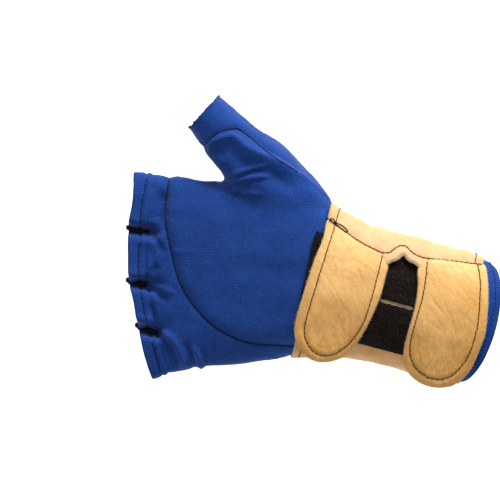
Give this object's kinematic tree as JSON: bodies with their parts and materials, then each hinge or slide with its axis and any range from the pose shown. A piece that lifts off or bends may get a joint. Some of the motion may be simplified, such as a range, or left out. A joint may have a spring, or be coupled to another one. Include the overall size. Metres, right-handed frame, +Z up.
{
  "type": "padded work glove",
  "caption": "Right-hand open-finger impact glove: stretch knit with a padded palm and thumb, and a leather wrist wrap closed by two hook-and-loop straps.",
  "frame": {"origin": "under the middle of the glove's box, on the surface that it lies on with its palm up", "axes": "+X from the fingers to the forearm, +Y to the thumb side, +Z up, out of the palm"},
  "size_m": [0.1876, 0.1458, 0.0554],
  "materials": {
    "knit_blue": "royal blue fine stretch knit, matte",
    "pad_foam": "soft grey polymer sheet",
    "lining_black": "thin black tricot",
    "thread_black": "black polyester thread",
    "leather_tan": "pale tan grain leather with raw suede edges",
    "loop_black": "black brushed loop",
    "hook_black": "black hook tape"
  },
  "bodies": {
    "glove": {"palm_panel": "knit_blue", "back_panel": "knit_blue", "thumb_panel": "knit_blue", "palm_pad": "pad_foam", "thumb_pad": "pad_foam", "palm_pad_lining": "lining_black", "thumb_pad_lining": "lining_black", "palm_pad_stitching": "thread_black", "thumb_pad_stitching": "thread_black", "finger_hem_stitching": "thread_black", "finger_bartacks": "thread_black", "side_seam_stitching": "thread_black", "thumb_seam_stitching": "thread_black", "cuff_hem_stitching": "thread_black", "wrist_wrap": "leather_tan", "underlap_flap": "leather_tan", "underlap_loop": "loop_black", "wrap_loop": "loop_black", "wrap_front_stitching": "thread_black", "wrap_rear_stitching": "thread_black", "strap_seam_stitching": "thread_black"},
    "front_strap": {"front_strap": "leather_tan", "front_strap_hook": "hook_black", "front_strap_stitching": "thread_black"},
    "rear_strap": {"rear_strap": "leather_tan", "rear_strap_hook": "hook_black", "rear_strap_stitching": "thread_black"}
  },
  "joints": [
    {"name": "front_strap_peel", "type": "hinge", "parent": "glove", "child": "front_strap", "pos_m": [0.02198, -0.00117, 0.05108], "axis": [-0.844, 0.531, -0.0763], "range_deg": [0, 150]},
    {"name": "rear_strap_peel", "type": "hinge", "parent": "glove", "child": "rear_strap", "pos_m": [0.07068, -0.01049, 0.04578], "axis": [-0.9781, 0.1383, 0.1553], "range_deg": [0, 150]}
  ]
}
